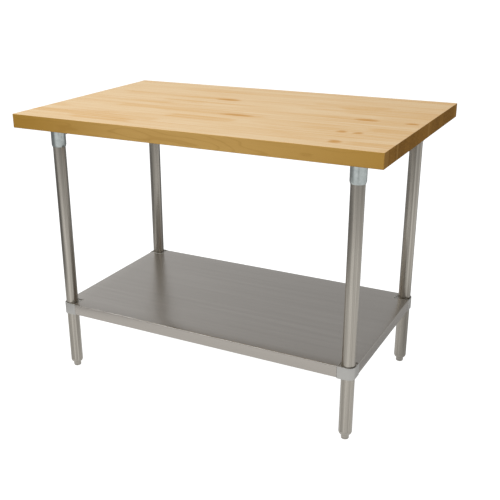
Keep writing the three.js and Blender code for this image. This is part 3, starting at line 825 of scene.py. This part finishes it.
bmesh.ops.delete(pan, geom=corners, context="FACES")
print("flat blank:", len(pan.faces), "faces")

# %% [markdown]
# Extruding an edge gives new vertices at the same place, which are then moved:
# down for the flange, and then inwards for the lip at its foot.
# %% Folds
SHEET, FOLD, LIP = 1.2 * MM, 3.0 * MM, 13.9 * MM


def outer_edges(bm, height):
    """Edges at this height on the four outer sides of the undershelf."""
    found = []
    for edge in bm.edges:
        a, b = (vert.co for vert in edge.verts)
        level = abs(a.z - height) < WELD and abs(b.z - height) < WELD
        on_x = abs(abs(a.x) - PAN_HIGH.x) < WELD and abs(a.x - b.x) < WELD
        on_y = abs(abs(a.y) - PAN_HIGH.y) < WELD and abs(a.y - b.y) < WELD
        if level and (on_x or on_y):
            found.append(edge)
    return found


def folded_out(bm, edges, step):
    """Extrudes the edges and moves what is new by the step, in metres."""
    grown = bmesh.ops.extrude_edge_only(bm, edges=edges)["geom"]
    verts = [item for item in grown if isinstance(item, bmesh.types.BMVert)]
    bmesh.ops.translate(bm, verts=verts, vec=step)


folded_out(pan, outer_edges(pan, PAN_HIGH.z), (0, 0, PAN_LOW.z - PAN_HIGH.z))
for edge in outer_edges(pan, PAN_LOW.z):
    middle = (edge.verts[0].co + edge.verts[1].co) / 2
    inward = Vector((-1, 0, 0)) if abs(middle.x) > NOTCH_X else Vector((0, -1, 0))
    inward = inward * (1 if middle.x + middle.y > 0 else -1)
    folded_out(pan, [edge], inward * LIP)
print("folded blank:", len(pan.faces), "faces")

# %% [markdown]
# Rounding comes before the thickness, so the inside of each fold keeps the
# sheet's thickness all the way round. Solidify grows the sheet against its
# normals, so these have to point up and out first. Four short studs, one for
# each clamp, are welded underneath.
# %% Round the folds, give the sheet its thickness and add the studs
STUD_REACH = 50.0
folds = outer_edges(pan, PAN_HIGH.z) + outer_edges(pan, PAN_LOW.z)
bmesh.ops.bevel(pan, geom=folds, offset=FOLD, offset_type="OFFSET", segments=5,
                profile=0.5, affect="EDGES", material=-1)
bmesh.ops.recalc_face_normals(pan, faces=pan.faces)
upward = [face for face in pan.faces if face.calc_center_median().z > PAN_HIGH.z - WELD]
if upward[0].normal.z < 0:
    bmesh.ops.reverse_faces(pan, faces=pan.faces)
bmesh.ops.solidify(pan, geom=pan.faces[:], thickness=SHEET)
reach = STUD_REACH / math.sqrt(2)
for corner in QUARTER_TURNS:
    x, y = (value / MM for value in leg_axis(corner))
    pan_stud = turned([(0, -14), (2.5, -14), (3.0, -13.4), (3.0, -1.2), (4.0, 0.3), (0, 0.3)],
                      COARSE)
    moved(pan_stud, (x - math.copysign(reach, x), y - math.copysign(reach, y),
                     (PAN_HIGH.z - SHEET) / MM))
    holder = bpy.data.meshes.new("pan_stud")
    pan_stud.to_mesh(holder)
    pan_stud.free()
    pan.from_mesh(holder)
    bpy.data.meshes.remove(holder)
print_box(piece("undershelf_sheet", pan, "shelf_sheet", "undershelf", "undershelf_pan"))
pan.free()

# %% [markdown]
# A channel is spot-welded under the sheet from end to end so that it doesn't
# drum or sag. Its cross-section is a hat: two brims, two webs and a crown.
# %% Stiffening channel
CHANNEL_LOW, CHANNEL_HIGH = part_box("undershelf_stiffener")
CROWN, CHANNEL_FOLD = 30 * MM, 2 * MM
hat = bmesh.new()
hat_line = [(CHANNEL_LOW.y, CHANNEL_HIGH.z), (-CROWN, CHANNEL_HIGH.z), (-CROWN, CHANNEL_LOW.z),
            (CROWN, CHANNEL_LOW.z), (CROWN, CHANNEL_HIGH.z), (CHANNEL_HIGH.y, CHANNEL_HIGH.z)]
points = [hat.verts.new((CHANNEL_LOW.x, y, z)) for y, z in hat_line]
edges = [hat.edges.new(pair) for pair in zip(points, points[1:])]
folded_out(hat, edges, (CHANNEL_HIGH.x - CHANNEL_LOW.x, 0, 0))
long_edges = [edge for edge in hat.edges if len(edge.link_faces) == 2]
bmesh.ops.bevel(hat, geom=long_edges, offset=CHANNEL_FOLD, offset_type="OFFSET", segments=4,
                profile=0.5, affect="EDGES", material=-1)
bmesh.ops.recalc_face_normals(hat, faces=hat.faces)
brim = max(hat.faces, key=lambda face: face.calc_center_median().z)
if brim.normal.z < 0:
    bmesh.ops.reverse_faces(hat, faces=hat.faces)
bmesh.ops.solidify(hat, geom=hat.faces[:], thickness=SHEET)
print_box(piece("undershelf_channel", hat, "shelf_sheet", "undershelf", "undershelf_stiffener"))
hat.free()

# %% [markdown]
# ## Clamps
# The casting at each corner fills the notch in the undershelf and grips the
# leg. It starts as a block whose outer corner has a large radius and whose
# inner corner has a small one. A smaller block of the same kind is used later
# to sink a shallow pocket round the leg.
# %% The block in the notch
OUT, INNER = 24.1, 27.7
CORNER_RADII = (((1, -1), 22.0, 16), ((-1, 1), 8.0, 8), ((1, 1), 1.6, 3), ((-1, -1), 1.6, 3))


def rounded_block(inset, low, high):
    """A block in the notch whose four upright corners have their own radii."""
    bm = block((inset - INNER, inset - OUT, low), (OUT - inset, INNER - inset, high))
    for (sign_x, sign_y), radius, segments in CORNER_RADII:
        upright = [edge for edge in bm.edges
                   if all(vert.co.x * sign_x > 0 and vert.co.y * sign_y > 0
                          for vert in edge.verts)
                   and abs(edge.verts[0].co.z - edge.verts[1].co.z) > MM]
        far = max(upright, key=lambda edge: abs(edge.verts[0].co.x) + abs(edge.verts[0].co.y))
        bmesh.ops.bevel(bm, geom=[far], offset=max(radius - inset, 0.6) * MM,
                        offset_type="OFFSET", segments=segments, profile=0.5, affect="EDGES",
                        material=-1)
    return bm


casting = rounded_block(0.0, clamp_bottom, clamp_top)
softened(casting, 0.8, 60, 3)
print("block:", len(casting.faces), "faces")

# %% [markdown]
# Two tongues lie behind the folded edges and keep the shelf square, and a lug
# with a rounded end goes over the sheet's stud.
# %% Tongues and lug
PAN_OUT, PAN_TOP = PAN_HIGH.x / MM - LEG_X / MM, PAN_HIGH.z / MM
TONGUE, TONGUE_FROM, TONGUE_TO = 3.0, 23.7, 44.0
LUG_TOP, LUG_THICK, LUG_HALF = PAN_TOP - 1.5, 5.0, 9.0
tongue_low, tongue_high = PAN_LOW.z / MM + 1.5, PAN_TOP - 4.2
behind = PAN_OUT - 1.5
left_tongue = block((-TONGUE_TO, -behind, tongue_low),
                    (-TONGUE_FROM, TONGUE - behind, tongue_high))
back_tongue = block((behind - TONGUE, TONGUE_FROM, tongue_low), (behind, TONGUE_TO, tongue_high))
for tongue in (left_tongue, back_tongue):
    casting = cut(casting, softened(tongue, 0.6), "UNION")
lug = block((23.4, -LUG_HALF, LUG_TOP - LUG_THICK), (STUD_REACH + LUG_HALF, LUG_HALF, LUG_TOP))
lug_end = [edge for edge in lug.edges if edge.verts[0].co.x > STUD_REACH * MM
           and abs(edge.verts[0].co.z - edge.verts[1].co.z) > MM]
bmesh.ops.bevel(lug, geom=lug_end, offset=(LUG_HALF - 0.01) * MM, offset_type="OFFSET",
                segments=10, profile=0.5, affect="EDGES", material=-1)
softened(lug, 0.4, 60)
casting = cut(casting, moved(lug, turn=INWARD), "UNION")
print("block with tongues and lug:", len(casting.faces), "faces")

# %% [markdown]
# The pocket leaves a thin rim standing round the leg. The bore flares at both
# ends, and the holes for the set screw and the sheet's stud are drilled last.
# %% Pocket, bore and holes
POCKET, CLAMP_RIM, LUG_HOLE = 2.6, 2.2, 3.5
casting = cut(casting, rounded_block(CLAMP_RIM, clamp_top - POCKET, clamp_top + 2))
mouth, grip = leg_outer + 1.25, leg_outer + 0.25
bore = turned([(0, clamp_bottom - 1), (mouth, clamp_bottom - 1), (mouth, clamp_bottom),
               (grip, clamp_bottom + 1), (grip, clamp_top - POCKET - 1),
               (leg_outer + 1.0, clamp_top - POCKET), (leg_outer + 1.0, clamp_top + 1),
               (0, clamp_top + 1)])
casting = cut(casting, bore)
casting = cut(casting, laid_inward(rod(SCREW_HOLE, 15, 60), CLAMP_SCREW_Z))
hole = rod(LUG_HOLE, LUG_TOP - 8, LUG_TOP + 2)
casting = cut(casting, moved(moved(hole, (STUD_REACH, 0, 0)), turn=INWARD))
at_each_corner("clamp_casting", casting, "cast_aluminium", "undershelf", "shelf_clamp")

# %% [markdown]
# A flange nut on the sheet's stud holds each lug. Its hexagon is chamfered by
# overlapping a turned blank with a hexagon bar.
# %% Flange nuts
NUT_FLATS, NUT_CORNERS, NUT_FLANGE, NUT_BORE = 10, 5.77, 7.0, 3.15
nut_top = LUG_TOP - LUG_THICK - 0.05
blank = turned([(0, nut_top - 5.5), (5.0, nut_top - 5.5), (NUT_CORNERS, nut_top - 5.0),
                (NUT_CORNERS, nut_top - 1), (0, nut_top - 1)], COARSE)
nut = cut(blank, hexagon(NUT_FLATS, nut_top - 6, nut_top), "INTERSECT")
flange = turned([(0, nut_top - 1.4), (NUT_FLANGE - 0.2, nut_top - 1.2),
                 (NUT_FLANGE, nut_top - 0.9), (NUT_FLANGE, nut_top), (0, nut_top)], COARSE)
nut = cut(nut, flange, "UNION")
nut = cut(nut, rod(NUT_BORE, nut_top - 8, nut_top + 1))
nut = moved(moved(nut, (STUD_REACH, 0, 0)), turn=INWARD)
at_each_corner("clamp_nut", nut, "zinc_plate", "undershelf", "clamp_nut", 25)

# %% [markdown]
# ## Studio
# The floor is plain and pale. Metal shows what is round it, so to bright metal
# the floor is the most important lamp: the legs and the folded edges mirror it.
# A studio lights only part of its floor. Here the floor glows for reflections
# in a pool in front of the table and to its right, and is dim elsewhere, which
# gives the round legs their bright middles and dark edges.
# %% Floor
WHITE, BRIGHT, HALF_LIT, LOW_LIT, DIM, BLACK = ((grey,) * 3 for grey in
                                                 (1.0, 0.44, 0.16, 0.12, 0.02, 0.0))
floor_mesh = bmesh.new()
bmesh.ops.create_grid(floor_mesh, x_segments=1, y_segments=1, size=30)
floor_data = bpy.data.meshes.new("studio_floor")
floor_mesh.to_mesh(floor_data)
floor_mesh.free()
floor = bpy.data.objects.new("studio_floor", floor_data)
scene.collection.objects.link(floor)
paper = Finish("studio_paper", Roughness=0.9, Specular_IOR_Level=0.0, Emission_Strength=1.0)


def distance_from(x, y, half_x, half_y):
    """1 on the edge of an ellipse on the floor."""
    return (((paper.x - x) / half_x) ** 2 + ((paper.y - y) / half_y) ** 2) ** 0.5


in_front = 1 - paper.between(distance_from(-0.1, -0.35, 1.1, 0.75), 0.85, 1.2)
front_right = paper.between(paper.x * 0.82 - paper.y * 0.57, -0.6, 0.8)
under_camera = 1 - paper.between(distance_from(1.05, -1.95, 1.0, 1.0), 0.2, 0.5)
beside = 1 - paper.between(distance_from(0.78, 0.50, 0.30, 0.60), 0.6, 1.2)
pool = paper.mix(DIM, BRIGHT, 1 - (1 - in_front) * (1 - front_right))
pool = paper.mix(pool, LOW_LIT, under_camera * 0.7)
pool = paper.mix(pool, HALF_LIT, beside * 0.9)
from_metal, from_camera = (paper.node("ShaderNodeLightPath", output=f"Is {kind} Ray")
                           for kind in ("Glossy", "Camera"))
glow = paper.mix(paper.mix(BLACK, pool, from_metal), WHITE, from_camera)
paper.wear(Base_Color=(0.30, 0.30, 0.30), Emission_Color=glow)
floor_data.materials.append(paper.material)
print("floor:", round(floor.dimensions.x), "m across")

# %% [markdown]
# The world has three strengths. The camera sees plain white behind the table,
# dull surfaces get an even light, and metal mirrors a room that is brighter to
# the left and darker straight overhead.
# %% Surroundings
BACKDROP, EVEN_LIGHT, CEILING = 1.3, 0.46, 0.30
world = bpy.data.worlds.new("studio")
scene.world = world
world.use_nodes = True
world.cycles.sampling_method = "NONE"
sky = world.node_tree
sky.nodes.clear()


def sky_node(kind, settings=None, inputs=None):
    made = sky.nodes.new(kind)
    for name, value in (settings or {}).items():
        setattr(made, name, value)
    for key, value in (inputs or {}).items():
        if isinstance(value, bpy.types.NodeSocket):
            sky.links.new(value, made.inputs[key])
        else:
            made.inputs[key].default_value = value
    return made


def graded(value, low, high, first, last):
    return sky_node("ShaderNodeMapRange", {"interpolation_type": "SMOOTHSTEP"},
                    {"Value": value, "From Min": low, "From Max": high, "To Min": first,
                     "To Max": last}).outputs[0]


def blended(amount, first, second):
    return sky_node("ShaderNodeMix", {"data_type": "FLOAT"},
                    {0: amount, 2: first, 3: second}).outputs[0]


toward = sky_node("ShaderNodeTexCoord").outputs["Generated"]
split = sky_node("ShaderNodeSeparateXYZ", None, {0: toward})
rays = sky_node("ShaderNodeLightPath")
walls = graded(split.outputs["X"], -0.70, -0.25, 0.72, 0.50)
room = blended(graded(split.outputs["Z"], 0.45, 0.75, 0.0, 1.0), walls, CEILING)
strength = blended(rays.outputs["Is Glossy Ray"], EVEN_LIGHT, room)
strength = blended(rays.outputs["Is Camera Ray"], strength, BACKDROP)
backdrop = sky_node("ShaderNodeBackground", None, {"Strength": strength})
sky_node("ShaderNodeOutputWorld", None, {"Surface": backdrop.outputs[0]})
print("world nodes:", len(sky.nodes))


# %% [markdown]
# A wide soft light hangs over the table, so that the top is brightest. A weaker
# one in front keeps the long side lighter than the end, and the weakest, on the
# right, opens the end. Only the overhead light shows in the metal, because the
# other two would draw a hard bright line down each leg.
# %% Lights
def soft_light(name, place, aim, size, power, in_metal=False):
    data = bpy.data.lights.new(name, "AREA")
    data.shape, data.energy = "RECTANGLE", power
    data.size, data.size_y = size
    lamp = bpy.data.objects.new(name, data)
    scene.collection.objects.link(lamp)
    lamp.location = place
    lamp.rotation_euler = (Vector(aim) - Vector(place)).to_track_quat("-Z", "Y").to_euler()
    lamp.visible_camera = False
    lamp.visible_glossy = in_metal
    print(name, "at", place, power, "W")


soft_light("overhead_light", (-0.8, -0.3, 3.4), (0, 0, 0.9), (3.0, 3.0), 61, in_metal=True)
soft_light("front_light", (0.5, -3.6, 1.7), (0, 0, 0.7), (2.0, 2.0), 37)
soft_light("side_light", (3.4, -0.6, 1.5), (0, 0, 0.7), (2.0, 2.0), 14)

# %% [markdown]
# ## Camera
# The camera stands to the right of the table's front and looks down on it. Its
# small shift moves the picture on the sensor without turning the camera.
# %% Camera
CAMERA_PLACE = Vector((1.1975, -2.3165, 1.4026))
AZIMUTH, ELEVATION, ROLL = (math.radians(value) for value in (29.10, 21.41, -0.83))
LENS, SENSOR, SHIFT_X, SHIFT_Y = 58.23, 36.0, 0.07, 0.03
camera_data = bpy.data.cameras.new("studio_camera")
camera_data.lens, camera_data.sensor_width = LENS, SENSOR
camera_data.shift_x, camera_data.shift_y = SHIFT_X, SHIFT_Y
camera = bpy.data.objects.new("studio_camera", camera_data)
scene.collection.objects.link(camera)
back = Vector((math.sin(AZIMUTH) * math.cos(ELEVATION),
               -math.cos(AZIMUTH) * math.cos(ELEVATION), math.sin(ELEVATION)))
level = (-back).cross(Vector((0, 0, 1))).normalized()
up = level.cross(-back)
right = level * math.cos(ROLL) + up * math.sin(ROLL)
up = up * math.cos(ROLL) - level * math.sin(ROLL)
pose = Matrix((right, up, back)).transposed().to_4x4()
camera.matrix_world = Matrix.Translation(CAMERA_PLACE) @ pose
scene.camera = camera
scene.view_settings.view_transform = "Standard"
print("camera lens", LENS, "at", CAMERA_PLACE)
